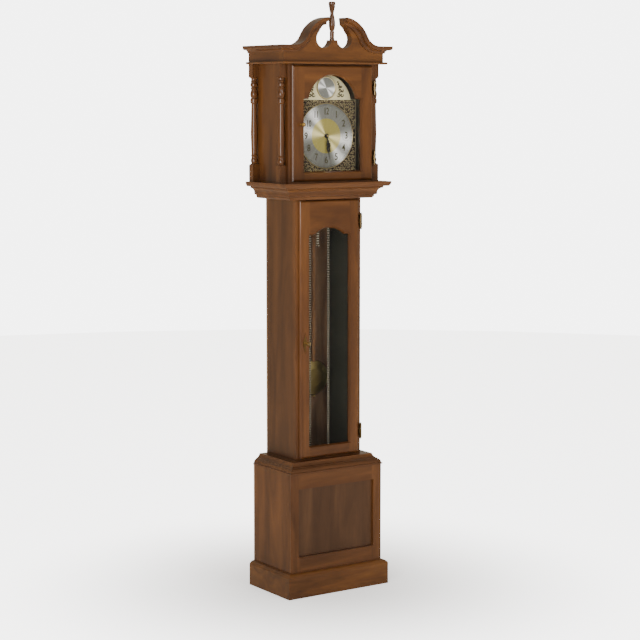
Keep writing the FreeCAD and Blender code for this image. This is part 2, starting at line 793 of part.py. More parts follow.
def dial():
    back_face = dial_front + dial_sheet
    outline = arched(dial_half, dial_bottom, dial_shoulder, dial_arch_half, dial_arch_rise)
    plate = prism(*outline, at_y(dial_front), Vector(0, dial_sheet, 0))
    hole = rod_y(arbor_hole, 0, dial_centre, -far, far)
    feet = []
    for x in (-plate_half + pillar_inset, plate_half - pillar_inset):
        for z in (seat_height + seat_thickness + 3 * pillar_inset, pivot_height - 2 * pillar_inset):
            feet.append(rod_y(3.0, x, z, back_face, front_plate_back - plate_thickness))
    keep("dial_plate", fused(plate.cut(hole), *feet))
    ring = rod_y(chapter_radius, 0, dial_centre, dial_front - chapter_sheet, dial_front)
    keep("chapter_ring", ring.cut(rod_y(dial_centre_radius, 0, dial_centre, -far, far)))
    disc = rod_y(dial_centre_radius - 0.1, 0, dial_centre, dial_front - chapter_sheet, dial_front)
    keep("dial_centre", disc.cut(hole))
    steps = [
        (boss_radius, 0), (boss_radius, -3.5), (boss_radius - 3, -3.5), (boss_radius - 4, -2), (0, -2),
    ]
    keep("arch_boss", turned_y((0, 0), steps, 0, dial_front, boss_height))
    spandrels = []
    outer = chapter_radius + 1.5
    edge = chapter_radius + spandrel_reach
    for side in (1, -1):
        for level in (1, -1):
            corner = (side * edge, dial_centre + level * edge)
            along = math.sqrt(outer ** 2 - (edge - 12) ** 2)
            inner = outer * math.sqrt(0.5)
            p = (side * edge, dial_centre + level * along)
            q = (side * along, dial_centre + level * edge)
            a = (side * (edge - 12), dial_centre + level * along)
            b = (side * along, dial_centre + level * (edge - 12))
            middle = (side * inner, dial_centre + level * inner)
            spandrels.append(prism(
                corner, [p, a, middle + b, q], at_y(dial_front - spandrel_sheet), Vector(0, spandrel_sheet, 0)
            ))
    keep("spandrels", *spandrels)


def serpentine(length, hub, tip):
    """A pierced hand pointing up: hub, waved blade, open loops and a fine point."""
    y = at_y(0)
    low = hub * 0.9
    right = [
        bulged((2.2, low), (3.4, length * 0.3), 0.1),
        bulged((3.4, length * 0.3), (1.6, length * 0.42), -0.15),
        bulged((1.6, length * 0.42), (4.6, length * 0.58), -0.2),
        bulged((4.6, length * 0.58), (1.4, length * 0.72), -0.2),
        (tip, length),
    ]
    outline = [(2.2, low)] + right
    left = [(-tip, length)]
    backwards = list(reversed([(2.2, low)] + [step[-2:] for step in right[:-1]]))
    bends = list(reversed(right[:-1]))
    for target, bend in zip(backwards[1:], bends):
        left.append((-bend[0], bend[1], -target[0], target[1]))
    left.insert(1, (-backwards[0][0], backwards[0][1]))
    blade = prism((-2.2, low), outline + left, y, Vector(0, hand_sheet, 0))
    boss = rod_y(hub, 0, 0, 0, hand_sheet)
    eye = rod_y(1.9, 0, length * 0.57, -far, far)
    return boss.fuse(blade).removeSplitter().cut(eye)


def hands():
    """Hour hand on a pipe, minute hand on the arbor that runs inside that pipe."""
    hour_front = dial_front - chapter_sheet - 4.0
    minute_front = hour_front - hand_sheet - hand_gap - 1.0
    bore = arbor_radius + running_clearance
    turn = Vector(0, 1, 0)
    hour = serpentine(hour_length, 7.0, 0.5).rotate(Vector(0, 0, 0), turn, hour_angle)
    hour = hour.translated(Vector(0, hour_front, dial_centre))
    pipe = rod_y(hour_pipe_radius, 0, dial_centre, hour_front, front_plate_back - plate_thickness - 0.5)
    hour = fused(hour, pipe).cut(rod_y(bore, 0, dial_centre, -far, far))
    keep("hour_hand", hour)
    minute = serpentine(minute_length, 5.5, 0.4).rotate(Vector(0, 0, 0), turn, minute_angle)
    minute = minute.translated(Vector(0, minute_front, dial_centre))
    arbor = rod_y(arbor_radius, 0, dial_centre, minute_front, back_plate_front + plate_thickness)
    keep("minute_hand", fused(minute, arbor))
    steps = [(3.2, 0), (3.2, -1.5), bulged((3.2, -1.5), (1, -3.5), 0.2), (0, -3.5)]
    keep("hand_nut", turned_y((0, 0), steps, 0, minute_front, dial_centre))


def movement():
    base = seat_height + seat_thickness
    top = base + plate_height
    bore = arbor_radius + running_clearance
    holes = [rod_y(bore, x, z, -far, far) for x, z in (
        (0, dial_centre), (0, pivot_height), (-wheel_offset, wheel_height), (wheel_offset, wheel_height)
    )]
    plates = []
    for y in (front_plate_back - plate_thickness, back_plate_front):
        plate = box(-plate_half, plate_half, y, y + plate_thickness, base, top)
        plates.append(plate.cut(Part.makeCompound(holes)))
    cock = box(-10, 10, back_plate_front + plate_thickness, pendulum_plane + 6, pivot_height + 7, top)
    plates[1] = fused(plates[1], cock)
    keep("movement_plates", *plates)
    pillars = []
    for x in (-plate_half + pillar_inset, plate_half - pillar_inset):
        for z in (base + pillar_inset, top - pillar_inset):
            pillars.append(rod_y(pillar_radius, x, z, front_plate_back, back_plate_front))
    keep("movement_pillars", *pillars)

    groove = wheel_pitch_radius - link_width / 2 - wheel_groove_gap
    rim = wheel_pitch_radius + 2.0
    cheek = link_width / 2 + 1.0
    steps = [
        (rim, -cheek - wheel_flange), (rim, -cheek), (groove + 1, -cheek), (groove, -cheek + 1),
        (groove, cheek - 1), (groove + 1, cheek), (rim, cheek), (rim, cheek + wheel_flange),
        (0, cheek + wheel_flange),
    ]
    for name, x in (("chain_wheel_left", -wheel_offset), ("chain_wheel_right", wheel_offset)):
        wheel = turned_y((0, -cheek - wheel_flange), steps, x, chain_plane, wheel_height)
        arbor = rod_y(arbor_radius, x, wheel_height, front_plate_back - plate_thickness,
                      back_plate_front + plate_thickness)
        keep(name, fused(wheel, arbor))

    arbor = rod_y(arbor_radius, 0, pivot_height, front_plate_back - plate_thickness, pendulum_plane - 4)
    stem = box(-3, 3, pendulum_plane - 6, pendulum_plane - 4, crutch_bottom, pivot_height)
    prong = box(rod_width / 2 + 0.5, rod_width / 2 + 2.5, pendulum_plane - 6, pendulum_plane + 4,
                crutch_bottom, crutch_bottom + 4)
    bar = box(-rod_width / 2 - 2.5, rod_width / 2 + 2.5, pendulum_plane - 6, pendulum_plane - 4,
              crutch_bottom, crutch_bottom + 4)
    anchor_y = front_plate_back + 12
    foot = (-16, pivot_height - 14)
    steps = [
        bulged(foot, (0, pivot_height + 5), -0.15),
        bulged((0, pivot_height + 5), (16, pivot_height - 14), -0.15),
        (13, pivot_height - 14), bulged((13, pivot_height - 14), (0, pivot_height - 3), 0.12),
        bulged((0, pivot_height - 3), (-13, pivot_height - 14), 0.12),
    ]
    anchor = prism(foot, steps, at_y(anchor_y), Vector(0, 3, 0))
    keep("pallet_crutch", fused(arbor, stem, bar, prong, mirrored(prong), anchor))


def pendulum():
    y = pendulum_plane
    top = pivot_height - 23.0
    low = bob_centre - 20.0
    half = rod_width / 2
    stick = box(-half, half, y - rod_thickness / 2, y + rod_thickness / 2, low, top)
    blade = box(-4, 4, y - 0.3, y + 0.3, top, pivot_height + 7 - cock_gap)
    screw = rod_z(1.75, 0, y, bob_centre - bob_radius - 16, low)
    keep("pendulum_rod", fused(stick, blade, screw))
    r = bob_radius
    t = bob_thickness / 2
    steps = [
        (2, -t), bulged((2, -t), (r - 1, -bob_rim / 2), -0.04), (r, -bob_rim / 2 + 1), (r, bob_rim / 2 - 1),
        (r - 1, bob_rim / 2), bulged((r - 1, bob_rim / 2), (2, t), -0.04), (0, t),
    ]
    bob = turned_y((0, -t), steps, 0, y, bob_centre)
    c = bob_clearance
    deep = rod_thickness / 2 + c
    slot = box(-half - c, half + c, y - deep, y + deep, low - c, bob_centre + far)
    bob = bob.cut(slot).cut(rod_z(1.75 + c, 0, y, 0, low))
    keep("pendulum_bob", bob)
    nut_top = bob_centre - bob_radius - 0.3
    nut = rod_z(rating_nut_radius, 0, y, nut_top - rating_nut_height, nut_top)
    keep("rating_nut", nut.cut(rod_z(1.75 + running_clearance, 0, y, 0, bob_centre)))


def chain_link(turned_link):
    """One link about the origin, its length upright, its plane across or along the clock."""
    half = link_width / 2
    w = link_wire
    outer = link_inner / 2 + w
    link = box(-half, half, -w / 2, w / 2, -outer, outer).cut(
        box(-half + w, half - w, -w, w, -link_inner / 2, link_inner / 2)
    )
    if turned_link:
        link.rotate(Vector(0, 0, 0), Vector(0, 0, 1), 90)
    return link


def first_link_height(first):
    """Height at which the first hanging link takes hold of the last one on the wheel."""
    bend = link_bend / 2
    reach = link_inner / 2 + link_wire / 2
    end_height = wheel_pitch_radius * math.sin(bend) - reach * math.cos(bend)
    if first == 0:
        hold = link_wire / 2 * (math.cos(bend) + math.sin(bend))
    else:
        end_out = reach * math.sin(bend) - wheel_pitch_radius * (1 - math.cos(bend))
        hold = link_wire / 2 / math.cos(bend) + (link_wire / 2 - end_out) * math.tan(bend)
    return wheel_height + end_height + hold + link_play - link_inner / 2


def hanging(x, bottom, first):
    """Interlocked links from the wheel downwards, each turned a quarter from the last.
    Also gives their low end and whether the lowest link is a turned one."""
    kinds = (chain_link(False), chain_link(True))
    top = first_link_height(first)
    reach = link_inner / 2 + link_wire
    count = int((top - reach - bottom) / link_pitch) + 1
    links = []
    for i in range(count):
        spot = Vector(x, chain_plane, top - i * link_pitch)
        links.append(kinds[(first + i) % 2].translated(spot))
    return links, top - (count - 1) * link_pitch - reach, (first + count - 1) % 2 == 1


def over_wheel(x):
    """The run of links that lies in the groove over the top of a chain wheel."""
    kinds = (chain_link(False), chain_link(True))
    links = []
    for i in range(wheel_links):
        angle = 180.0 / wheel_links * (i + 0.5)
        link = kinds[i % 2].copy()
        link.rotate(Vector(0, 0, 0), Vector(0, 1, 0), -angle)
        centre = on_arc((x, wheel_height), wheel_pitch_radius, angle)
        links.append(link.translated(Vector(centre[0], chain_plane, centre[1])))
    return links


def chains_and_weights():
    outer = wheel_offset + wheel_pitch_radius
    inner = wheel_offset - wheel_pitch_radius
    ends = []
    for name, side, bottom in (("left", -1, free_end_bottom), ("right", 1, short_end_bottom)):
        links, low, turned_low = hanging(side * outer, chain_bottom, 1 if side > 0 else wheel_links % 2)
        keep("chain_" + name, *links)
        neck = 12.0
        r = weight_radius
        h = weight_height
        cap = weight_cap
        steps = [
            (r - 2, 0), (r, 2), (r, cap), (r - 0.8, cap), (r - 0.8, h - cap), (r, h - cap), (r, h - 2),
            (r - 2, h), (3, h), (1.6, h + neck), (0, h + neck),
        ]
        foot = low - weight_hook_gap - neck - weight_height
        keep("weight_" + name, turned((0, 0), steps, side * outer, chain_plane, foot))
        ends += over_wheel(side * wheel_offset)
        links, low, turned_low = hanging(side * inner, bottom, 1 if side < 0 else wheel_links % 2)
        ends += links
        ring = pull_ring_radius
        axis = Vector(0, 1, 0) if turned_low else Vector(1, 0, 0)
        middle = Vector(side * inner, chain_plane, low + 2 * link_wire + 2 * link_play - ring)
        spot = middle - axis * (link_wire / 2)
        hoop = Part.makeCylinder(ring, link_wire, spot, axis)
        ends.append(hoop.cut(Part.makeCylinder(ring - link_wire, link_wire, spot, axis)))
    keep("chain_free_ends", *ends)


def build():
    case_base()
    case_trunk()
    case_hood()
    pediment()
    trunk_door()
    hood_door()
    dial()
    hands()
    movement()
    pendulum()
    chains_and_weights()
    os.makedirs("parts", exist_ok=True)
    for name, shape in NODES.items():
        shape.exportStep("parts/" + name + ".step")
        b = shape.BoundBox
        reach = [round(v, 1) for v in (b.XMin, b.XMax, b.YMin, b.YMax, b.ZMin, b.ZMax)]
        print(name, len(shape.Solids), shape.isValid(), round(shape.Volume), reach)


build()
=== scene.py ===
# %% [markdown]
# # A slim longcase clock
# The real clock is a tall wooden case in three stages. The base carries the trunk, and the trunk
# carries the hood with the dial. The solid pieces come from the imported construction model, so this
# script adds the finishes and the small work: numerals, scroll ornaments, round chain links.

# %% Load the construction model
import math
import random

import bpy
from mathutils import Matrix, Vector


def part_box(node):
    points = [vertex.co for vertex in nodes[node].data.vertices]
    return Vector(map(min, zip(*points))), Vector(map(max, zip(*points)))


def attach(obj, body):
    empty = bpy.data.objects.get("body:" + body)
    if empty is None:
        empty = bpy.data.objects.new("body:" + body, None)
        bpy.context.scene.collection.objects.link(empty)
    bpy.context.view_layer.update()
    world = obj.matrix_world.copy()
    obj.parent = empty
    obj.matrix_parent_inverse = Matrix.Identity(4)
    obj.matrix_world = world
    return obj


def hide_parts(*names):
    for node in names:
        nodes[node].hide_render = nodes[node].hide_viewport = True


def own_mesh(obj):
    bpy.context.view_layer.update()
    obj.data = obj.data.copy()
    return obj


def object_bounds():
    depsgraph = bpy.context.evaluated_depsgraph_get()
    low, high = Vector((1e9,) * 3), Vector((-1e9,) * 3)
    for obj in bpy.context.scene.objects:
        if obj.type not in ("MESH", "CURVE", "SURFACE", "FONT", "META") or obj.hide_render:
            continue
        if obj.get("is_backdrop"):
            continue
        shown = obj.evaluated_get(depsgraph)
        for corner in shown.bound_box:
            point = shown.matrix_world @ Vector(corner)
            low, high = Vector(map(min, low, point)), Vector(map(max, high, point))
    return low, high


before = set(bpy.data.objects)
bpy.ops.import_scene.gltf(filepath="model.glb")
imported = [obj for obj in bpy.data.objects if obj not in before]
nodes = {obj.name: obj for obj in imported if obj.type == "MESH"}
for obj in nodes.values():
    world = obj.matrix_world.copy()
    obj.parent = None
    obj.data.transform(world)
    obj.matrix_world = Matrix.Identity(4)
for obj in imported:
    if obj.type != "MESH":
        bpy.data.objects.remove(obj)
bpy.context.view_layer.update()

# %% [markdown]
# ## Where the dial is
# Every added piece is placed from the boxes of the construction pieces, so that it still fits if the
# model is built again at another size.

# %% Measure the dial
ring_low, ring_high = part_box("chapter_ring")
dial_centre = (ring_low + ring_high) / 2
ring_radius = (ring_high.z - ring_low.z) / 2
ring_front = ring_low.y
plate_low, plate_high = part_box("dial_plate")
plate_front = plate_low.y
boss_low, boss_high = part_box("arch_boss")
boss_centre = (boss_low + boss_high) / 2
boss_radius = (boss_high.x - boss_low.x) / 2
print("dial centre:", [round(v, 4) for v in dial_centre], "ring radius:", round(ring_radius, 4))

# %% [markdown]
# ## Finishes
# A finish could be painted onto an image, but a procedural finish has no seams and stays sharp when
# the camera comes close. Each one starts from the same plain finish, and the helpers below add nodes
# that change its colour from place to place.


# %% Helpers for a new finish
def new_finish(name, colour, roughness, metallic=0.0):
    """A plain finish, with its node tree and its surface shader to build on."""
    finish = bpy.data.materials.new(name)
    finish.use_nodes = True
    shader = finish.node_tree.nodes["Principled BSDF"]
    shader.inputs["Base Color"].default_value = (*colour, 1.0)
    shader.inputs["Roughness"].default_value = roughness
    shader.inputs["Metallic"].default_value = metallic
    return finish, finish.node_tree, shader


def plain_finish(name, colour, roughness, metallic=0.0):
    """A finish that is the same all over."""
    return new_finish(name, colour, roughness, metallic)[0]


# %% Helpers for nodes
def add_node(tree, kind, **inputs):
    """A shader node with its input values set by name."""
    node = tree.nodes.new(kind)
    for key, value in inputs.items():
        node.inputs[key.replace("_", " ")].default_value = value
    return node


def feed(tree, given, socket):
    """Links a socket to another one, or sets it to a plain value."""
    if isinstance(given, bpy.types.NodeSocket):
        tree.links.new(given, socket)
    else:
        socket.default_value = given


def sum_node(tree, operation, first, second=None):
    """A maths node whose inputs are sockets or plain numbers."""
    node = tree.nodes.new("ShaderNodeMath")
    node.operation = operation
    feed(tree, first, node.inputs[0])
    if second is not None:
        feed(tree, second, node.inputs[1])
    return node.outputs[0]


def mix_colours(tree, share, first, second, blend="MIX"):
    """Two colours mixed by a share, where each of the three is a socket or a plain value."""
    mix = tree.nodes.new("ShaderNodeMixRGB")
    mix.blend_type = blend
    feed(tree, share, mix.inputs["Fac"])
    feed(tree, first, mix.inputs["Color1"])
    feed(tree, second, mix.inputs["Color2"])
    return mix.outputs["Color"]


# %% Helpers for places on a piece
def place_on_piece(tree):
    """The place on the piece in metres, split into its three parts."""
    place = tree.nodes.new("ShaderNodeTexCoord")
    split = tree.nodes.new("ShaderNodeSeparateXYZ")
    tree.links.new(place.outputs["Object"], split.inputs["Vector"])
    return split.outputs


def near_middle(tree, limit):
    """1 on faces nearer the middle of the clock's width than the limit, and 0 elsewhere."""
    away = sum_node(tree, "ABSOLUTE", place_on_piece(tree)["X"])
    return sum_node(tree, "LESS_THAN", away, limit)


# %% [markdown]
# ## The wood
# The case is a red-brown hardwood under a semi-gloss lacquer. Grain is long along the board and short
# across it, so the noise is stretched along one axis. Upright boards, boards that run across the front
# and boards that run from front to back each have their own direction. A frame has upright stiles and
# level rails in one piece, so its grain turns where the rails begin.

# %% Helpers for the grain
SIDEWAYS, FRONT_BACK, UPRIGHT = 0, 1, 2
GRAIN_ACROSS = 17.0
GRAIN_ALONG = 2.2
TONE_STOPS = (0.3, 0.5, 0.72)
PORE_SHADE = 0.35


def grain_place(tree, along):
    """The place on the board, stretched so that noise runs long in the direction of the grain."""
    place = tree.nodes.new("ShaderNodeTexCoord")
    scale = [GRAIN_ACROSS] * 3
    scale[along] = GRAIN_ALONG
    stretch = add_node(tree, "ShaderNodeMapping", Scale=scale)
    tree.links.new(place.outputs["Object"], stretch.inputs["Vector"])
    return stretch.outputs["Vector"]


def grain_ramp(tree, figure, tones):
    """Turns the figure of the wood into its dark, middle and light tones."""
    ramp = tree.nodes.new("ShaderNodeValToRGB")
    stops = ramp.color_ramp.elements
    stops[0].position, stops[1].position = TONE_STOPS[0], TONE_STOPS[2]
    stops[0].color, stops[1].color = (*tones[0], 1.0), (*tones[2], 1.0)
    stops.new(TONE_STOPS[1]).color = (*tones[1], 1.0)
    tree.links.new(figure, ramp.inputs["Fac"])
    return ramp.outputs["Color"]


# %% Helper for a wood finish
def wood_finish(name, along, tones, gloss=0.32, coat=0.6, rail_half=None):
    """Stretched noise for the figure, finer noise for the pores, and a coat of lacquer."""
    finish, tree, shader = new_finish(name, tones[1], gloss)
    grain = grain_place(tree, along)
    if rail_half:
        grain = mix_colours(tree, near_middle(tree, rail_half), grain, grain_place(tree, SIDEWAYS))
    figure = add_node(tree, "ShaderNodeTexNoise", Scale=1.0, Detail=4.0, Roughness=0.55, Distortion=1.1)
    pores = add_node(tree, "ShaderNodeTexNoise", Scale=10.0, Detail=3.0, Roughness=0.7)
    tree.links.new(grain, figure.inputs["Vector"])
    tree.links.new(grain, pores.inputs["Vector"])
    tone = grain_ramp(tree, figure.outputs["Fac"], tones)
    colour = mix_colours(tree, PORE_SHADE, tone, pores.outputs["Fac"], "MULTIPLY")
    tree.links.new(colour, shader.inputs["Base Color"])
    bump = add_node(tree, "ShaderNodeBump", Strength=0.04, Distance=0.0005)
    tree.links.new(pores.outputs["Fac"], bump.inputs["Height"])
    tree.links.new(bump.outputs["Normal"], shader.inputs["Normal"])
    shader.inputs["Specular IOR Level"].default_value = 0.15
    shader.inputs["Coat Weight"].default_value = coat
    shader.inputs["Coat Roughness"].default_value = 0.1
    return finish


# %% Make the wood finishes
CASE_TONES = ((0.040, 0.0142, 0.0044), (0.065, 0.0230, 0.0060), (0.096, 0.0350, 0.0082))
FRONT_TONES = ((0.050, 0.0178, 0.0050), (0.086, 0.0312, 0.0072), (0.124, 0.0465, 0.0100))
PANEL_TONES = ((0.036, 0.0152, 0.0062), (0.047, 0.0200, 0.0080), (0.062, 0.0268, 0.0105))
INNER_TONES = ((0.125, 0.069, 0.037), (0.205, 0.119, 0.062), (0.28, 0.159, 0.083))
ROD_TONES = ((0.10, 0.045, 0.018), (0.17, 0.08, 0.033), (0.24, 0.12, 0.05))
PANEL_LAP = 0.006
wood_up = wood_finish("wood_upright", UPRIGHT, CASE_TONES)
wood_across = wood_finish("wood_across", SIDEWAYS, CASE_TONES)
wood_front = wood_finish("wood_front", SIDEWAYS, FRONT_TONES)
wood_deep = wood_finish("wood_front_to_back", FRONT_BACK, CASE_TONES)
wood_panel = wood_finish("wood_panel", UPRIGHT, PANEL_TONES)
wood_inner = wood_finish("wood_inner", UPRIGHT, INNER_TONES, gloss=0.6, coat=0.0)
wood_rod = wood_finish("wood_rod", UPRIGHT, ROD_TONES, gloss=0.45, coat=0.0)
rail_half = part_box("base_front_panel")[1].x - PANEL_LAP
base_frame_wood = wood_finish("wood_base_frame", UPRIGHT, CASE_TONES, rail_half=rail_half)
print("grain of the base frame turns at:", round(rail_half, 4))

# %% [markdown]
# The side boards are a different colour inside. The trunk's inner faces are dark with a painted shade,
# standing for the shadow inside the trunk and the dark reflection in its glass, which is why the window
# looks black on the side away from the light. The hood is left pale, so the gap beside the dial looks
# dim but not black. A second set of faces could carry these colours. They only have to show on faces
# that look inward, though, so they are mixed into the boards' own finish by how near the middle they
# are.


# %% Stain and shade the inner faces
def stain_inside(finish, limit, stain_and_shade):
    """Colours every face nearer the middle than the limit: painted shade in the trunk, pale stain in
    the hood.
    """
    tree = finish.node_tree
    base = tree.nodes["Principled BSDF"].inputs["Base Color"]
    wood_colour = base.links[0].from_socket
    tree.links.new(mix_colours(tree, near_middle(tree, limit), wood_colour, (*stain_and_shade, 1.0)), base)


SIDE_TONES = ((0.033, 0.0125, 0.0040), (0.050, 0.0188, 0.0056), (0.072, 0.0275, 0.0076))
TRUNK_SKIN, HOOD_SKIN = 0.012, 0.010
# Painted shade on the trunk's inner faces, for its inner shadow and the dark reflection in its glass.
TRUNK_PAINTED_SHADE = (0.036, 0.040, 0.031)
HOOD_STAIN = (0.34, 0.31, 0.21)
trunk_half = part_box("trunk_sides")[1].x
trunk_side_wood = wood_finish("wood_trunk_sides", UPRIGHT, SIDE_TONES)
stain_inside(trunk_side_wood, trunk_half - TRUNK_SKIN, TRUNK_PAINTED_SHADE)
hood_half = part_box("hood_sides")[1].x
hood_side_wood = wood_finish("wood_hood_sides", UPRIGHT, CASE_TONES)
stain_inside(hood_side_wood, hood_half - HOOD_SKIN, HOOD_STAIN)
print("outer faces of trunk and hood:", round(trunk_half, 4), round(hood_half, 4))

# %% [markdown]
# ## The spun dial
# The chapter ring, the centre and the arch boss are spun: a tool leaves fine circles in the metal, and
# those circles gather the light into bright fans that run through the middle. Modelled grooves would
# need thousands of faces, so the fans are painted highlights instead, worked out from the angle round
# the centre and fixed in place whatever the view. A power of the cosine is bright along one line
# through the middle and falls off quickly on both sides. Fine streaks round the angle are painted
# sheen.

# %% Helper for the painted highlight fans
# Each painted highlight fan: its angle in degrees, its sharpness and its strength.
FANS = ((-37.0, 50.0, 0.9), (-78.0, 24.0, 1.0))
PAINTED_STREAK_STRENGTH = 0.14


def fan_light(tree, angle):
    """Painted sheen streaks, and a painted highlight fan for each angle in degrees, sharpness and
    strength.
    """
    streaks = add_node(tree, "ShaderNodeTexNoise", Scale=9.0, Detail=3.0)
    streaks.noise_dimensions = "1D"
    tree.links.new(angle, streaks.inputs["W"])
    light = sum_node(tree, "MULTIPLY", streaks.outputs["Fac"], PAINTED_STREAK_STRENGTH)
    for degrees, sharpness, strength in FANS:
        turned = sum_node(tree, "SUBTRACT", angle, math.radians(degrees))
        line = sum_node(tree, "ABSOLUTE", sum_node(tree, "COSINE", turned))
        fan = sum_node(tree, "MULTIPLY", sum_node(tree, "POWER", line, sharpness), strength)
        light = sum_node(tree, "ADD", light, fan)
    return sum_node(tree, "MINIMUM", light, 1.0)


# %% Make the spun finishes with painted highlight fans
# Each pair is the dull metal colour and the colour of its painted highlight.
SILVER_AND_HIGHLIGHT = ((0.118, 0.120, 0.097), (1.0, 1.0, 0.96))
GOLD_AND_HIGHLIGHT = ((0.28, 0.235, 0.048), (0.96, 0.85, 0.40))
RIM_GOLD = (0.80, 0.70, 0.40)
BOSS_RIM = boss_radius * 0.89


def spun_finish(name, centre, tones, roughness, metallic, rim=None):
    """Painted highlight fans round a centre and, where a radius is given for the rim, gilt metal
    outside it.
    """
    dull, painted_highlight = tones
    finish, tree, shader = new_finish(name, dull, roughness, metallic)
    place = place_on_piece(tree)
    across = sum_node(tree, "SUBTRACT", place["X"], centre.x)
    up = sum_node(tree, "SUBTRACT", place["Z"], centre.z)
    light = fan_light(tree, sum_node(tree, "ARCTAN2", across, up))
    # Painted highlight: the colour runs from dull metal to the bright fan colour.
    colour = mix_colours(tree, light, (*dull, 1.0), (*painted_highlight, 1.0))
    if rim:
        squares = (sum_node(tree, "MULTIPLY", across, across), sum_node(tree, "MULTIPLY", up, up))
        out = sum_node(tree, "SQRT", sum_node(tree, "ADD", *squares))
        colour = mix_colours(tree, sum_node(tree, "GREATER_THAN", out, rim), colour, (*RIM_GOLD, 1.0))
    tree.links.new(colour, shader.inputs["Base Color"])
    return finish


silver = spun_finish("spun_silver_painted_fans", dial_centre, SILVER_AND_HIGHLIGHT, 0.3, 0.15)
silver_boss = spun_finish("spun_boss_painted_fans", boss_centre, SILVER_AND_HIGHLIGHT, 0.3, 0.15, BOSS_RIM)
gold_centre = spun_finish("spun_gold_painted_fans", dial_centre, GOLD_AND_HIGHLIGHT, 0.33, 0.2)
print("fans on each spun piece:", len(FANS))

# %% [markdown]
# ## The other metals and the glass
# Hinges, knob, weights and pendulum bob are brass, more or less tarnished, and the hands are blacked
# steel. The glass is plain window glass, so it is nearly all see-through, with a dark tint that stands
# for what it reflects of the room.

# %% Make the metals and the glass
brass = plain_finish("brass", (0.62, 0.42, 0.14), 0.24, 1.0)
bob_brass = plain_finish("brass_bob", (0.34, 0.27, 0.10), 0.34, 1.0)
old_brass = plain_finish("brass_dull", (0.20, 0.145, 0.07), 0.28, 1.0)
dark_brass = plain_finish("brass_dark", (0.27, 0.175, 0.075), 0.3, 1.0)
worn_brass = plain_finish("brass_worn", (0.50, 0.38, 0.17), 0.3, 1.0)
gilt = plain_finish("gilt", (0.74, 0.62, 0.34), 0.3, 1.0)
plate_gilt = plain_finish("gilt_plate", (0.84, 0.76, 0.44), 0.42, 0.35)
# Dark ground under the spandrel scrolls, also used as painted shade in the pierced leaves' openings.
dark_ground_and_opening_shade = plain_finish("gilt_ground_and_opening_shade", (0.05, 0.035, 0.02), 0.6, 0.4)
black = plain_finish("black_hand", (0.012, 0.011, 0.01), 0.35)
steel = plain_finish("steel", (0.5, 0.5, 0.5), 0.35, 1.0)
numeral = plain_finish("numeral_gilt", (0.076, 0.068, 0.034), 0.45, 0.4)
oval_line = plain_finish("oval_silver", (0.25, 0.245, 0.19), 0.4, 0.3)
glass, _, glass_shader = new_finish("clear_glass", (0.01, 0.01, 0.01), 0.02)
glass_shader.inputs["Alpha"].default_value = 0.14
glass_shader.inputs["Specular IOR Level"].default_value = 0.12
print("materials in the file:", len(bpy.data.materials))

# %% [markdown]
# The chains are brass too. Each link carries a painted highlight across its middle and a painted shade
# where one link hooks into the next. A wave along the chain, as long as one link, gives that band
# without any seams.

# %% Make the chain finish with painted highlights
LINK_PITCH = 0.0076
CHAIN_PAINTED_SHADE = (0.02, 0.017, 0.012)
CHAIN_PAINTED_HIGHLIGHT = (0.74, 0.66, 0.50)
chain_brass_painted, chain_tree, chain_shader = new_finish("brass_chain_painted_highlights", CHAIN_PAINTED_HIGHLIGHT, 0.25, 0.35)
# Painted highlight once per link along the chain, with painted shade between the links.
link_turn = sum_node(chain_tree, "MULTIPLY", place_on_piece(chain_tree)["Z"], 2 * math.pi / LINK_PITCH)
wave = sum_node(chain_tree, "SINE", link_turn)
link_highlight = sum_node(chain_tree, "MULTIPLY", sum_node(chain_tree, "ADD", wave, 1.0), 0.5)
chain_colour = mix_colours(chain_tree, link_highlight, (*CHAIN_PAINTED_SHADE, 1.0), (*CHAIN_PAINTED_HIGHLIGHT, 1.0))
chain_tree.links.new(chain_colour, chain_shader.inputs["Base Color"])
print("chain band:", LINK_PITCH, "m")

# %% [markdown]
# ## Give each construction piece its finish
# Stiles, sides and columns are upright grain. Rails and mouldings across the front run sideways, and
# the side friezes and cornices run from front to back. The plinth, the bead and the pediment are cut
# from lighter boards.

# %% Put the finishes on
FINISH_OF = {
    wood_up: [
        "base_sides", "trunk_front_frame", "hood_front_frame", "hood_columns", "finial",
        "trunk_door_stiles", "hood_door_stiles",
    ],
    wood_across: [
        "base_moulding", "waist_moulding", "swan_neck_mouldings", "trunk_door_top_rail",
        "trunk_door_bottom_rail", "hood_door_top_rail", "hood_door_bottom_rail",
    ],
    wood_front: ["plinth_boards", "frieze_bead", "pediment_board"],
    wood_deep: ["side_friezes", "side_cornices"],
    base_frame_wood: ["base_front_frame"],
    wood_panel: ["base_front_panel"],
    trunk_side_wood: ["trunk_sides"],
    hood_side_wood: ["hood_sides"],
    wood_inner: ["base_back", "base_bottom", "trunk_back", "hood_back", "hood_top", "seat_board"],
    wood_rod: ["pendulum_rod"],
    glass: ["trunk_door_glass", "hood_door_glass"],
    brass: [
        "hood_door_knob", "weight_left", "weight_right", "movement_plates", "movement_pillars",
        "chain_wheel_left", "chain_wheel_right",
    ],
    bob_brass: ["pendulum_bob", "rating_nut"],
    worn_brass: ["trunk_key", "hand_nut"],
    dark_brass: ["trunk_escutcheon"],
    old_brass: [
        "trunk_hinge_fixed_leaves", "trunk_hinge_door_leaves", "hood_hinge_fixed_leaves",
        "hood_hinge_door_leaves",
    ],
    chain_brass_painted: ["chain_left", "chain_right", "chain_free_ends"],
    plate_gilt: ["dial_plate"],
    dark_ground_and_opening_shade: ["spandrels"],
    silver: ["chapter_ring"],
    silver_boss: ["arch_boss"],
    gold_centre: ["dial_centre"],
    black: ["minute_hand", "hour_hand"],
    steel: ["pallet_crutch"],
}
dressed = 0
for finish, names in FINISH_OF.items():
    for name in names:
        nodes[name].data.materials.clear()
        nodes[name].data.materials.append(finish)
        dressed += 1
print("pieces with a finish:", dressed, "of", len(nodes))

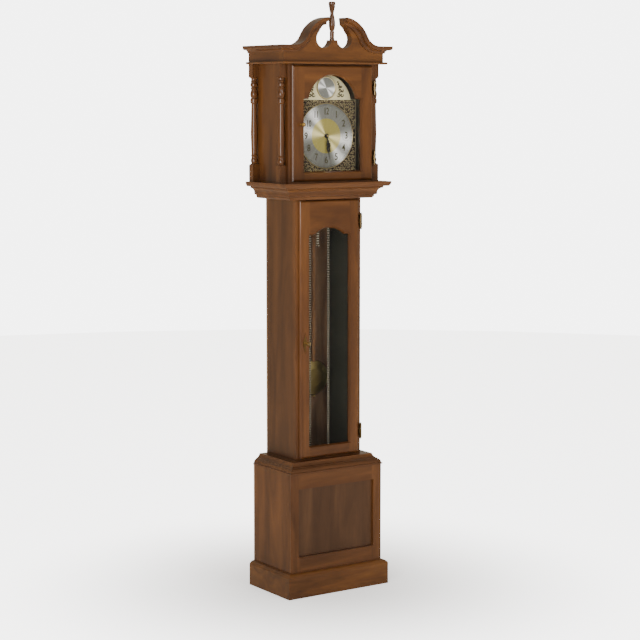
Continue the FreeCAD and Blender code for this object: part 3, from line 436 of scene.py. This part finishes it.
# %% [markdown]
# Lacquered edges are never sharp. A narrow bevel on the boards catches a thin line of light, as the
# eased edges of the real case do. A modifier adds it, so the construction pieces stay as they are.

# %% Ease the edges of the boards
EDGE_WIDTH = 0.0007
EDGE_ANGLE = math.radians(35)
eased_woods = (
    wood_up, wood_across, wood_front, wood_deep,
    trunk_side_wood, hood_side_wood, base_frame_wood,
)
eased = [name for finish in eased_woods for name in FINISH_OF[finish]]
for name in eased:
    ease = nodes[name].modifiers.new("eased_edges", "BEVEL")
    ease.width = EDGE_WIDTH
    ease.segments = 2
    ease.limit_method = "ANGLE"
    ease.angle_limit = EDGE_ANGLE
print("pieces with eased edges:", len(eased))

# %% [markdown]
# ## Helpers for small metal work
# Scrolls and tracks are thin wires, plates and rings laid on the dial. A wire could be a curve with a
# round section, but a plain mesh tube keeps the number of faces under control.

# %% Helpers for a new piece
FRONT_TO_BACK = Vector((0, 1, 0))


def make_mesh(name, points, faces, finish, body):
    """A piece that rides on a body of the clock."""
    mesh = bpy.data.meshes.new(name)
    mesh.from_pydata(points, [], faces)
    mesh.update()
    mesh.materials.append(finish)
    piece = bpy.data.objects.new(name, mesh)
    bpy.context.collection.objects.link(piece)
    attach(piece, body)
    return piece


def round_spot(centre, radius, angle, y):
    """A spot on an upright circle, with the angle counted from the top as on a dial."""
    return Vector((centre.x + radius * math.sin(angle), y, centre.z + radius * math.cos(angle)))


def on_dial(radius, clock_degrees, y):
    """A spot on the dial."""
    return round_spot(dial_centre, radius, math.radians(clock_degrees), y)


# %% Helpers for wires
def even(width):
    """A wire that is as wide all along."""
    return lambda t: width


def swelling(widest):
    """A wire that is widest in its middle and about half as wide at its ends."""
    return lambda t: widest * (0.35 + 0.65 * math.sin(math.pi * (0.12 + 0.8 * t)))


def add_tube(points, faces, line, width, sides=5, flat=1.0, closed=False):
    """Adds a tube along a line lying in a plane that faces the front; a closed line has no ends."""
    start = len(points)
    count = len(line)
    for i, spot in enumerate(line):
        ahead = line[(i + 1) % count] if closed else line[min(i + 1, count - 1)]
        behind = line[i - 1] if closed else line[max(i - 1, 0)]
        run = (ahead - behind).normalized()
        across = run.cross(FRONT_TO_BACK).normalized()
        half = width(i / (count - 1)) / 2
        for k in range(sides):
            angle = 2 * math.pi * k / sides
            forward = FRONT_TO_BACK * half * flat * math.sin(angle)
            points.append(spot + across * half * math.cos(angle) - forward)
    for i in range(count if closed else count - 1):
        here = start + i * sides
        there = start + (i + 1) % count * sides
        for k in range(sides):
            turn = (k + 1) % sides
            faces.append((here + k, here + turn, there + turn, there + k))
    if not closed:
        last = start + (count - 1) * sides
        faces.append(tuple(start + k for k in reversed(range(sides))))
        faces.append(tuple(last + k for k in range(sides)))


# %% Helpers for thin plates and rings
def add_plate(points, faces, outline, thickness):
    """Adds a thin closed plate behind its front outline."""
    start = len(points)
    count = len(outline)
    points += outline
    points += [spot + FRONT_TO_BACK * thickness for spot in outline]
    faces.append(tuple(start + k for k in range(count)))
    faces.append(tuple(start + count + k for k in reversed(range(count))))
    for k in range(count):
        after = (k + 1) % count
        faces.append((start + after, start + k, start + count + k, start + count + after))


def add_ring(points, faces, centre, inner, outer, y, thickness, steps=128):
    """Adds a thin closed ring that faces the front."""
    start = len(points)
    section = ((inner, y), (outer, y), (outer, y + thickness), (inner, y + thickness))
    for k in range(steps):
        angle = 2 * math.pi * k / steps
        points += [round_spot(centre, radius, angle, depth) for radius, depth in section]
    for k in range(steps):
        here = start + 4 * k
        there = start + 4 * ((k + 1) % steps)
        for m in range(4):
            after = (m + 1) % 4
            faces.append((here + m, there + m, there + after, here + after))


# %% [markdown]
# ## The minute track and numerals
# The ring has a fine track printed at its edge, with two circles and a tick for each minute. A printed
# line has no thickness to speak of, but a closed plate a third of a millimetre thick keeps its colour
# in every view and makes a closed mesh.

# %% Print the minute track
TRACK_CIRCLES = ((0.955, 0.96), (0.918, 0.923))
TICK_FROM, TICK_TO = ring_radius * 0.92, ring_radius * 0.958
HOUR_TICK, MINUTE_TICK = 0.0011, 0.0005
INK_THICKNESS = 0.0003
INK_RAISE = 0.0002
ink_y = ring_front - INK_RAISE
points, faces = [], []
for inner, outer in TRACK_CIRCLES:
    add_ring(points, faces, dial_centre, ring_radius * inner, ring_radius * outer, ink_y, INK_THICKNESS)
for minute in range(60):
    wide = HOUR_TICK if minute % 5 == 0 else MINUTE_TICK
    inner = on_dial(TICK_FROM, minute * 6, ink_y)
    outer = on_dial(TICK_TO, minute * 6, ink_y)
    side = (outer - inner).cross(FRONT_TO_BACK).normalized() * wide / 2
    add_plate(points, faces, [inner + side, inner - side, outer - side, outer + side], INK_THICKNESS)
track = make_mesh("minute_track", points, faces, numeral, "case")
print("track faces:", len(track.data.polygons))

# %% [markdown]
# The numerals are raised figures of darkened gilt. They could be drawn by hand, but a plain typeface
# has the same slim upright figures, so each one is cut from Blender's own type and turned into flat
# metal. Two figures side by side are squeezed more than a single one.

# %% Make the numerals
NUMERAL_RADIUS = ring_radius * 0.745
NUMERAL_HEIGHT = ring_radius * 0.205
FIGURE_SHARE = 0.70
NUMERAL_THICKNESS = 0.0004
NUMERAL_WEIGHT = 0.0003
NUMERAL_RAISE = 0.0006
SINGLE_SQUEEZE, DOUBLE_SQUEEZE = 0.86, 0.66
for hour in range(1, 13):
    text = bpy.data.curves.new("numeral_%02d" % hour, "FONT")
    text.body = str(hour)
    text.align_x = "CENTER"
    text.align_y = "CENTER"
    text.size = NUMERAL_HEIGHT / FIGURE_SHARE
    text.extrude = NUMERAL_THICKNESS
    text.offset = NUMERAL_WEIGHT
    text.resolution_u = 3
    drawn = bpy.data.objects.new("drawn_%02d" % hour, text)
    cut = bpy.data.meshes.new_from_object(drawn)
    bpy.data.objects.remove(drawn)
    cut.materials.clear()
    cut.materials.append(numeral)
    figure = bpy.data.objects.new("numeral_%02d" % hour, cut)
    bpy.context.collection.objects.link(figure)
    figure.rotation_euler = (math.radians(90), 0, 0)
    figure.scale = (DOUBLE_SQUEEZE if hour > 9 else SINGLE_SQUEEZE, 1.0, 1.0)
    figure.location = on_dial(NUMERAL_RADIUS, hour * 30, ring_front - NUMERAL_RAISE)
    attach(figure, "case")
print("numeral height:", round(NUMERAL_HEIGHT, 4))

# %% [markdown]
# Each numeral stands in a narrow oval. The oval is nearly the colour of the ring and shows only where
# the light catches it, so one thin flat wire is enough.

# %% Draw the ovals
OVAL_HALF_WIDTH, OVAL_HALF_HEIGHT = 0.0148, 0.0158
OVAL_WIRE = 0.0006
OVAL_RAISE = 0.0003
OVAL_STEPS = 32
points, faces = [], []
for hour in range(1, 13):
    middle = on_dial(NUMERAL_RADIUS, hour * 30, ring_front - OVAL_RAISE)
    oval = []
    for k in range(OVAL_STEPS):
        angle = 2 * math.pi * k / OVAL_STEPS
        out = Vector((OVAL_HALF_WIDTH * math.cos(angle), 0, OVAL_HALF_HEIGHT * math.sin(angle)))
        oval.append(middle + out)
    add_tube(points, faces, oval, even(OVAL_WIRE), sides=4, flat=0.5, closed=True)
ovals = make_mesh("numeral_ovals", points, faces, oval_line, "case")
print("oval faces:", len(ovals.data.polygons))

# %% [markdown]
# A half-round brass bead hides the edges of the chapter ring and of the boss. A torus would do, but a
# tube pressed flat, made by the same helper as the other wires, sits closer to the plate.

# %% Brass rims round the ring and the boss
RIM_WIRE = 0.0030
RIM_STEPS = 96
BOSS_RIM_SINK = 0.0002
RIMS = (
    (dial_centre, ring_radius * 0.99, ring_front),
    (boss_centre, boss_radius * 0.97, boss_low.y + BOSS_RIM_SINK),
)
points, faces = [], []
for centre, radius, y in RIMS:
    rim = [round_spot(centre, radius, 2 * math.pi * k / RIM_STEPS, y) for k in range(RIM_STEPS)]
    add_tube(points, faces, rim, even(RIM_WIRE), sides=6, flat=0.7, closed=True)
rims = make_mesh("dial_rims", points, faces, gilt, "case")
print("rim faces:", len(rims.data.polygons))

# %% [markdown]
# ## The spandrels
# The corners outside the ring hold scrollwork: leaves that curl from a stem, gilt over a dark ground.
# On the real dial they are pressed from thin brass. Each scroll here is a spiral wire that swells in
# the middle. Drawing every curl by hand would take long, so rows of scrolls, each a little out of
# line and turned by chance, fill the corners.

# %% Make one scroll
SCROLL_SPOTS = 26
EYE_SHARE = 0.14


def spiral(centre, size, start_degrees, turns, sense, y):
    """A line that winds inward from its full size to a small eye."""
    line = []
    for i in range(SCROLL_SPOTS):
        t = i / (SCROLL_SPOTS - 1)
        radius = size * (1 - (1 - EYE_SHARE) * t)
        angle = math.radians(start_degrees + sense * 360 * turns * t)
        spot = (centre[0] + radius * math.cos(angle), y, centre[1] + radius * math.sin(angle))
        line.append(Vector(spot))
    return line


# %% Lay the dark ground
MARGIN = 0.0015
GROUND_THICKNESS = 0.0004
GROUND_RAISE = 0.0003
SHOULDER_LAP = 0.002
ground_y = plate_front - GROUND_RAISE
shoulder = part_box("spandrels")[1].z + SHOULDER_LAP
half = plate_high.x - MARGIN
foot = plate_low.z + MARGIN
corners = ((-half, foot), (half, foot), (half, shoulder), (-half, shoulder))
points, faces = [], []
add_plate(points, faces, [Vector((x, ground_y, z)) for x, z in corners], GROUND_THICKNESS)
make_mesh("spandrel_ground", points, faces, dark_ground_and_opening_shade, "case")
print("ground:", round(2 * half, 4), "by", round(shoulder - foot, 4))

# %% Fill the corners with scrolls
CELL = 0.0070
EDGE = 0.0045
SHIFT_ACROSS, SHIFT_UP = 0.0008, 0.0016
SMALLEST, LARGEST = 0.0027, 0.0042
FEWEST_TURNS, MOST_TURNS = 0.7, 1.1
SCROLL_WIRE = 0.0015
SCROLL_RAISE = 0.0018
RING_CLEARANCE = 0.002
chance = random.Random(7)
scroll_y = plate_front - SCROLL_RAISE
rows = round((shoulder - plate_low.z - 2 * EDGE) / CELL) + 1
rise = (shoulder - plate_low.z - 2 * EDGE) / (rows - 1)
columns = int(2 * half / CELL) + 1
points, faces = [], []
scrolls = 0
for row in range(rows):
    for column in range(columns):
        x = -half + CELL * (column + (row % 2) * 0.5) + chance.uniform(-SHIFT_ACROSS, SHIFT_ACROSS)
        z = plate_low.z + EDGE + rise * row + chance.uniform(-SHIFT_UP, SHIFT_UP)
        from_dial = math.hypot(x - dial_centre.x, z - dial_centre.z)
        size = chance.uniform(SMALLEST, LARGEST)
        z = min(max(z, plate_low.z + size), shoulder - size)
        if from_dial < ring_radius + RING_CLEARANCE or abs(x) > half - size:
            continue
        sense = 1 if x * (z - dial_centre.z) > 0 else -1
        begin = chance.uniform(0, 360)
        turns = chance.uniform(FEWEST_TURNS, MOST_TURNS)
        curl = spiral((x, z), size, begin, turns, sense, scroll_y)
        add_tube(points, faces, curl, swelling(SCROLL_WIRE), sides=4, flat=0.8)
        scrolls += 1
make_mesh("spandrel_scrolls", points, faces, gilt, "case")
print("scrolls:", scrolls, "faces:", len(faces))

# %% [markdown]
# ## The open loops of the hands
# Serpentine hands are sawn from sheet steel with open loops beside the blade. The loops are drawn as
# thin wires in the sheet's own plane, so they turn with the hand and clear the one beside it.

# %% Loops beside the blades
LOOP_WIRE = 0.0011
LOOP_STEPS = 16
NEXT_PAIR = 0.17
HAND_LOOPS = (("hour_hand", 0.40, 0.0040, 0.0034), ("minute_hand", 0.38, 0.0032, 0.0026))
loops = 0
for name, share, offset, loop in HAND_LOOPS:
    hand = nodes[name]
    spots = [hand.matrix_world @ corner.co for corner in hand.data.vertices]
    tip = max(spots, key=lambda spot: math.hypot(spot.x - dial_centre.x, spot.z - dial_centre.z))
    arbor = Vector((dial_centre.x, tip.y, dial_centre.z))
    reach = tip - arbor
    run = reach.normalized()
    sideways = run.cross(FRONT_TO_BACK)
    points, faces = [], []
    for step in (0.0, NEXT_PAIR):
        for side in (-1, 1):
            heart = arbor + reach * (share + step) + sideways * offset * side
            line = []
            for k in range(LOOP_STEPS):
                angle = 2 * math.pi * k / LOOP_STEPS
                line.append(heart + run * loop * math.cos(angle) + sideways * loop * math.sin(angle))
            add_tube(points, faces, line, even(LOOP_WIRE), flat=0.7, closed=True)
            loops += 1
    make_mesh(name + "_loops", points, faces, black, name)
print("loops on the hands:", loops)

# %% [markdown]
# ## The pierced leaves
# The plate beside the boss is plain and pale, with one pierced leaf on each side. Its openings show
# only shade, so the leaf is drawn in dark scrolls, a painted shade that rises from a broad foot to a
# narrow
# tip. One list serves both sides: the second leaf is the first one seen in a mirror.

# %% Pierced leaves beside the boss
LEAF_WIRE = 0.0042
LEAF = (
    (0.047, -0.021, 0.0070, 200, 1.1, 1),
    (0.059, -0.022, 0.0062, 20, 1.0, -1),
    (0.051, -0.008, 0.0060, 240, 1.1, 1),
    (0.060, -0.009, 0.0050, 60, 0.9, -1),
    (0.048, 0.004, 0.0048, 220, 1.0, 1),
    (0.055, 0.004, 0.0040, 40, 0.9, -1),
    (0.046, 0.013, 0.0034, 200, 0.9, 1),
    (0.043, 0.019, 0.0024, 200, 0.8, 1),
)
points, faces = [], []
for side in (1, -1):
    for out, up, size, begin, turns, sense in LEAF:
        centre = (boss_centre.x + side * out, boss_centre.z + up)
        first = begin if side > 0 else 180 - begin
        curl = spiral(centre, size, first, turns, sense * side, ground_y)
        add_tube(points, faces, curl, swelling(LEAF_WIRE), sides=4, flat=0.2)
# The dark scrolls are painted shade for the openings of the pierced leaf.
make_mesh("arch_leaves", points, faces, dark_ground_and_opening_shade, "case")
print("leaf scrolls:", 2 * len(LEAF), "faces:", len(faces))

# %% [markdown]
# ## The chains
# Each chain is made of oval wire links, turned a quarter from one to the next. The construction links
# are square in section, so rounder links stand in for the two long strands here.

# %% Make one chain link
LINK_WIRE = 0.0009
LINK_REACH = 0.00565
LINK_HALF_WIDTH = 0.0037
LINK_BENDS = 12
WIRE_SIDES = 6


def oval_link(points, faces, centre, turned):
    """One round-wire link with straight sides and round ends."""
    start = len(points)
    bend = LINK_HALF_WIDTH - LINK_WIRE
    straight = LINK_REACH - LINK_WIRE - bend
    for k in range(LINK_BENDS):
        angle = 2 * math.pi * (k + 0.5) / LINK_BENDS
        out = Vector((math.cos(angle), 0, math.sin(angle)))
        spot = out * bend + Vector((0, 0, straight if out.z > 0 else -straight))
        for m in range(WIRE_SIDES):
            turn = 2 * math.pi * m / WIRE_SIDES
            p = spot + out * LINK_WIRE * math.cos(turn) + FRONT_TO_BACK * LINK_WIRE * math.sin(turn)
            if turned:
                p = Vector((-p.y, p.x, p.z))
            points.append(p + centre)
    for k in range(LINK_BENDS):
        here = start + k * WIRE_SIDES
        there = start + (k + 1) % LINK_BENDS * WIRE_SIDES
        for m in range(WIRE_SIDES):
            after = (m + 1) % WIRE_SIDES
            faces.append((here + m, here + after, there + after, there + m))


# %% [markdown]
# A strand hangs from its wheel down to its weight. The real chain runs over the wheel as the weight
# rises. Links that climb round a wheel would each need a motion of their own, so each strand here is
# one fixed column of links on the case, in the place of the construction strand.

# %% Hang the two strands
for side, first in (("left", 0), ("right", 1)):
    strand_low, strand_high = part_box("chain_" + side)
    middle = (strand_low + strand_high) / 2
    count = round((strand_high.z - strand_low.z - 2 * LINK_REACH) / LINK_PITCH) + 1
    points, faces = [], []
    for i in range(count):
        spot = Vector((middle.x, middle.y, strand_high.z - LINK_REACH - i * LINK_PITCH))
        oval_link(points, faces, spot, (first + i) % 2)
    strand = make_mesh("strand_" + side, points, faces, chain_brass_painted, "case")
    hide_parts("chain_" + side)
    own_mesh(strand)
    for polygon in strand.data.polygons:
        polygon.use_smooth = True

# %% [markdown]
# ## The studio
# The clock stands on a pale floor under a white surround. A bent sheet of paper is the usual backdrop,
# but its edges show from the side, so the floor is a round disc and a dome closes the view all round.
# The floor glows less near the clock, as a painted shadow round its base.


# %% Helper for a piece of the studio
def stage_piece(name, points, faces, finish):
    """A piece of the studio, which shows in the picture but is no part of the clock."""
    mesh = bpy.data.meshes.new(name)
    mesh.from_pydata(points, [], faces)
    mesh.materials.append(finish)
    for polygon in mesh.polygons:
        polygon.use_smooth = True
    piece = bpy.data.objects.new(name, mesh)
    bpy.context.collection.objects.link(piece)
    piece.visible_glossy = False
    piece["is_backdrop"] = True
    return piece


# %% Lay the floor
WHITE = (1.0, 1.0, 1.0, 1.0)
PAPER_GLOW = 4.2
# Glow of the floor next to the clock, a painted shadow round its base.
PAPER_PAINTED_SHADOW = 0.7
SHADE_FROM, SHADE_TO = 0.1, 1.1
FLOOR_REACH = 6.5
FLOOR_DROP = Vector((0, 0, -0.0002))
ROUND_STEPS = 48
paper, paper_tree, paper_shader = new_finish("studio_paper", (0.93, 0.93, 0.93), 0.9)
paper_shader.inputs["Emission Color"].default_value = WHITE
paper_place = paper_tree.nodes.new("ShaderNodeTexCoord")
away = paper_tree.nodes.new("ShaderNodeVectorMath")
away.operation = "LENGTH"
paper_tree.links.new(paper_place.outputs["Object"], away.inputs[0])
painted_floor_shadow = add_node(
    paper_tree, "ShaderNodeMapRange",
    From_Min=SHADE_FROM, From_Max=SHADE_TO, To_Min=PAPER_PAINTED_SHADOW, To_Max=PAPER_GLOW,
)
painted_floor_shadow.interpolation_type = "SMOOTHSTEP"
paper_tree.links.new(away.outputs["Value"], painted_floor_shadow.inputs["Value"])
paper_tree.links.new(painted_floor_shadow.outputs["Result"], paper_shader.inputs["Emission Strength"])
circle = []
for k in range(ROUND_STEPS):
    angle = 2 * math.pi * k / ROUND_STEPS
    circle.append(Vector((math.cos(angle), math.sin(angle), 0)))
floor_points = [spot * FLOOR_REACH + FLOOR_DROP for spot in circle]
stage_piece("studio_floor", floor_points, [tuple(range(ROUND_STEPS))], paper)
print("floor reaches:", FLOOR_REACH, "m")

# %% [markdown]
# The dome is only a white surround. It gives the clock no light and throws no shadow, because the
# soft lights inside it do that work.

# %% Raise the dome
DOME_GLOW = PAPER_GLOW * 1.33
DOME_REACH = 14.0
DOME_ROWS = 12
surround, _, surround_shader = new_finish("studio_surround", (0.0, 0.0, 0.0), 1.0)
surround_shader.inputs["Emission Color"].default_value = WHITE
surround_shader.inputs["Emission Strength"].default_value = DOME_GLOW
dome_points, dome_faces = [], []
for row in range(1 - DOME_ROWS, DOME_ROWS):
    climb = math.radians(90 * row / DOME_ROWS)
    for spot in circle:
        dome_points.append((spot * math.cos(climb) + Vector((0, 0, math.sin(climb)))) * DOME_REACH)
for row in range(2 * DOME_ROWS - 2):
    low = row * ROUND_STEPS
    for k in range(ROUND_STEPS):
        after = (k + 1) % ROUND_STEPS
        dome_faces.append((low + k, low + after, low + ROUND_STEPS + after, low + ROUND_STEPS + k))
dome = stage_piece("studio_dome", dome_points, dome_faces, surround)
dome.visible_diffuse = False
dome.visible_transmission = False
dome.visible_shadow = False
print("dome reaches:", DOME_REACH, "m")

# %% [markdown]
# ## Lights and camera
# The light comes mostly from the left, so the left edges of the case are the brighter ones. Large
# lamps give soft shadows and long highlights on the lacquer, and a warm dim world fills the rest.


# %% Lights
def soft_light(name, place, target, size, power):
    """A large lamp that looks at a target."""
    lamp = bpy.data.lights.new(name, "AREA")
    lamp.shape = "RECTANGLE"
    lamp.size, lamp.size_y = size
    lamp.energy = power
    item = bpy.data.objects.new(name, lamp)
    bpy.context.collection.objects.link(item)
    item.location = place
    item.rotation_euler = (Vector(target) - Vector(place)).to_track_quat("-Z", "Y").to_euler()


LAMPS = (
    ("key_light", (-3.0, -3.0, 2.8), (0, 0, 1.0), (0.9, 1.8), 35),
    ("side_light", (-3.1, -2.3, 1.62), (0, 0, 1.4), (1.9, 1.5), 84),
    ("front_light", (0.6, -4.2, 2.8), (0, 0, 1.0), (2.0, 2.0), 88),
    ("top_light", (0.0, 0.6, 4.6), (0, 0.4, 0.5), (3.0, 3.0), 45),
)
for lamp in LAMPS:
    soft_light(*lamp)
world = bpy.data.worlds.new("studio")
world.use_nodes = True
background = world.node_tree.nodes["Background"]
background.inputs["Color"].default_value = (1.0, 0.86, 0.66, 1.0)
background.inputs["Strength"].default_value = 0.42
bpy.context.scene.world = world
print("lamps:", len(LAMPS))

# %% [markdown]
# The camera stands at eye height, in front of the clock and to its left. A long lens from some way off
# keeps the upright edges nearly parallel.

# %% Camera at the photo's angle
EYE = (-3.187, -4.727, 1.536)
LOOK = Vector((0.5555, 0.8228, -0.1200))
camera_data = bpy.data.cameras.new("camera")
camera_data.lens = 103.0
camera_data.sensor_width = 36.0
camera = bpy.data.objects.new("camera", camera_data)
bpy.context.collection.objects.link(camera)
camera.location = EYE
camera.rotation_euler = LOOK.to_track_quat("-Z", "Y").to_euler()
bpy.context.scene.camera = camera
print("camera height:", EYE[2])

# %% [markdown]
# ## Sizes
# The box of the finished model is measured over every shown piece except the studio. The finished
# model has to stay inside the construction model's box.

# %% Measure the finished model's box
low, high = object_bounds()
